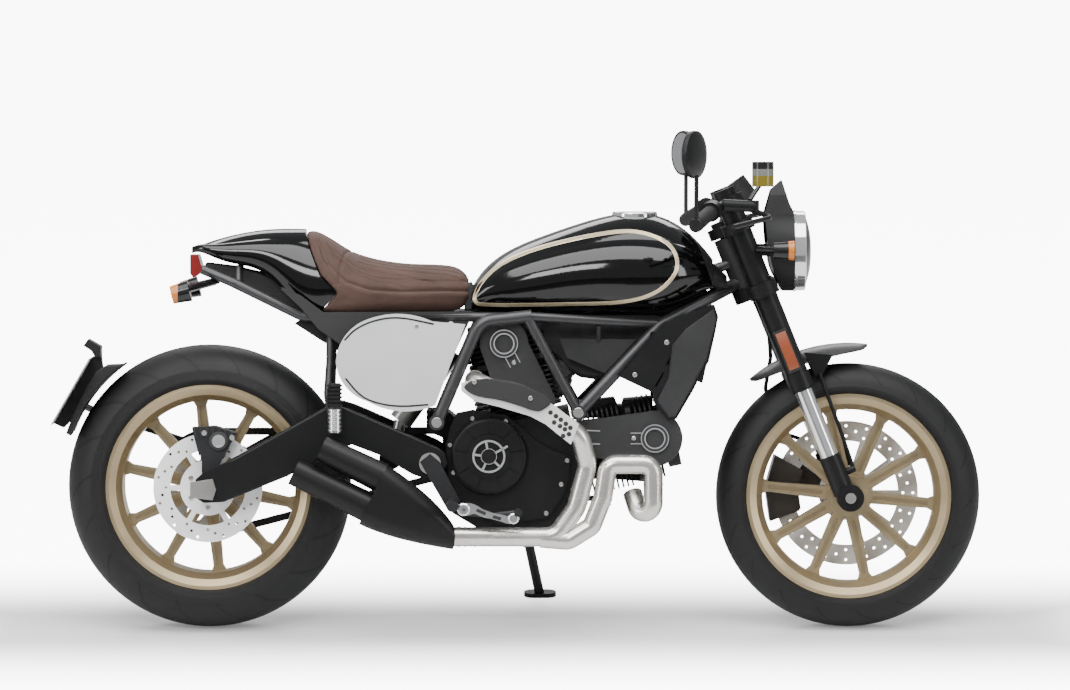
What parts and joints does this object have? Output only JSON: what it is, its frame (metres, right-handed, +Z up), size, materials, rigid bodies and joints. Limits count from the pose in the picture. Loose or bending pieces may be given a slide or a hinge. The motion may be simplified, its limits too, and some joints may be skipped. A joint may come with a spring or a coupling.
{
  "type": "cafe racer motorcycle",
  "caption": "Retro cafe racer motorcycle leaning on its side stand, with a vee engine, inverted fork, cast wheels and a leather seat",
  "frame": {"origin": "bottom centre of the bounding box, on the floor under the machine", "axes": "X points forward, Y to the rider's left, Z up; the machine leans 10 degrees to +Y on its side stand"},
  "size_m": [2.0847, 0.8798, 1.1705],
  "materials": {
    "tyre": "satin",
    "gold_wheel": "satin",
    "steel": "brushed",
    "dark_metal": "satin",
    "frame_black": "satin",
    "engine_black": "matte",
    "gloss_black": "gloss",
    "chrome": "polished",
    "leather": "satin",
    "red_lens": "gloss",
    "amber_lens": "gloss",
    "black_plastic": "matte",
    "grey_plastic": "satin",
    "brushed": "brushed",
    "plate_white": "satin",
    "lens": "gloss",
    "rubber": "matte",
    "bronze": "satin"
  },
  "bodies": {
    "chassis": {"chain": "dark_metal", "swinging_arm": "frame_black", "chassis_bolts": "steel", "rear_axle_set": "steel", "engine_cases": "engine_black", "cylinders": "engine_black", "side_covers": "engine_black", "belt_covers": "engine_black", "sprocket_cover": "engine_black", "front_sprocket": "steel", "frame": "frame_black", "subframe": "frame_black", "exhaust_pipes": "steel", "silencer": "engine_black", "heat_shield": "steel", "fuel_tank": "gloss_black", "fuel_cap": "chrome", "tank_trim": "black_plastic", "seat": "leather", "tail_cowl": "gloss_black", "tail_light": "red_lens", "undertray": "black_plastic", "side_plates": "brushed", "battery_box": "black_plastic", "front_shrouds": "black_plastic", "oil_cooler": "dark_metal", "plate_holder": "black_plastic", "number_plate": "plate_white", "rear_signals": "amber_lens", "rear_caliper": "bronze", "rear_shock": "steel", "foot_pegs": "dark_metal", "foot_levers": "dark_metal", "stand_bracket": "frame_black"},
    "steering": {"front_hose": "rubber", "fork_yokes": "engine_black", "fork_tubes": "frame_black", "stanchions": "chrome", "fork_feet": "frame_black", "front_axle_set": "steel", "front_mudguard": "grey_plastic", "headlight": "gloss_black", "headlight_lens": "lens", "flyscreen": "black_plastic", "handlebars": "frame_black", "grips": "rubber", "bar_controls": "frame_black", "mirrors": "black_plastic", "instrument": "black_plastic", "fluid_reservoir": "black_plastic", "front_signals": "amber_lens", "front_caliper": "bronze"},
    "front_wheel": {"front_tyre": "tyre", "front_wheel": "gold_wheel", "front_disc": "steel"},
    "rear_wheel": {"rear_tyre": "tyre", "rear_wheel": "gold_wheel", "rear_disc": "steel", "rear_sprocket": "steel"},
    "side_stand": {"side_stand": "frame_black"}
  },
  "joints": [
    {"name": "steering_turn", "type": "hinge", "parent": "chassis", "child": "steering", "pos_m": [0.49432, -0.04223, 0.80971], "axis": [-0.3714, 0.1612, 0.9144], "range_deg": [-32, 32]},
    {"name": "front_wheel_spin", "type": "hinge", "parent": "steering", "child": "front_wheel", "pos_m": [0.74537, -0.13326, 0.29341], "axis": [0, 0.9848, -0.1736], "continuous": true},
    {"name": "rear_wheel_spin", "type": "hinge", "parent": "chassis", "child": "rear_wheel", "pos_m": [-0.69063, -0.12954, 0.31453], "axis": [0, 0.9848, -0.1736], "continuous": true},
    {"name": "side_stand_fold", "type": "hinge", "parent": "chassis", "child": "side_stand", "pos_m": [0.02337, -0.03452, 0.17389], "axis": [0.0355, 0.8158, 0.5773], "range_deg": [0, 98]}
  ]
}
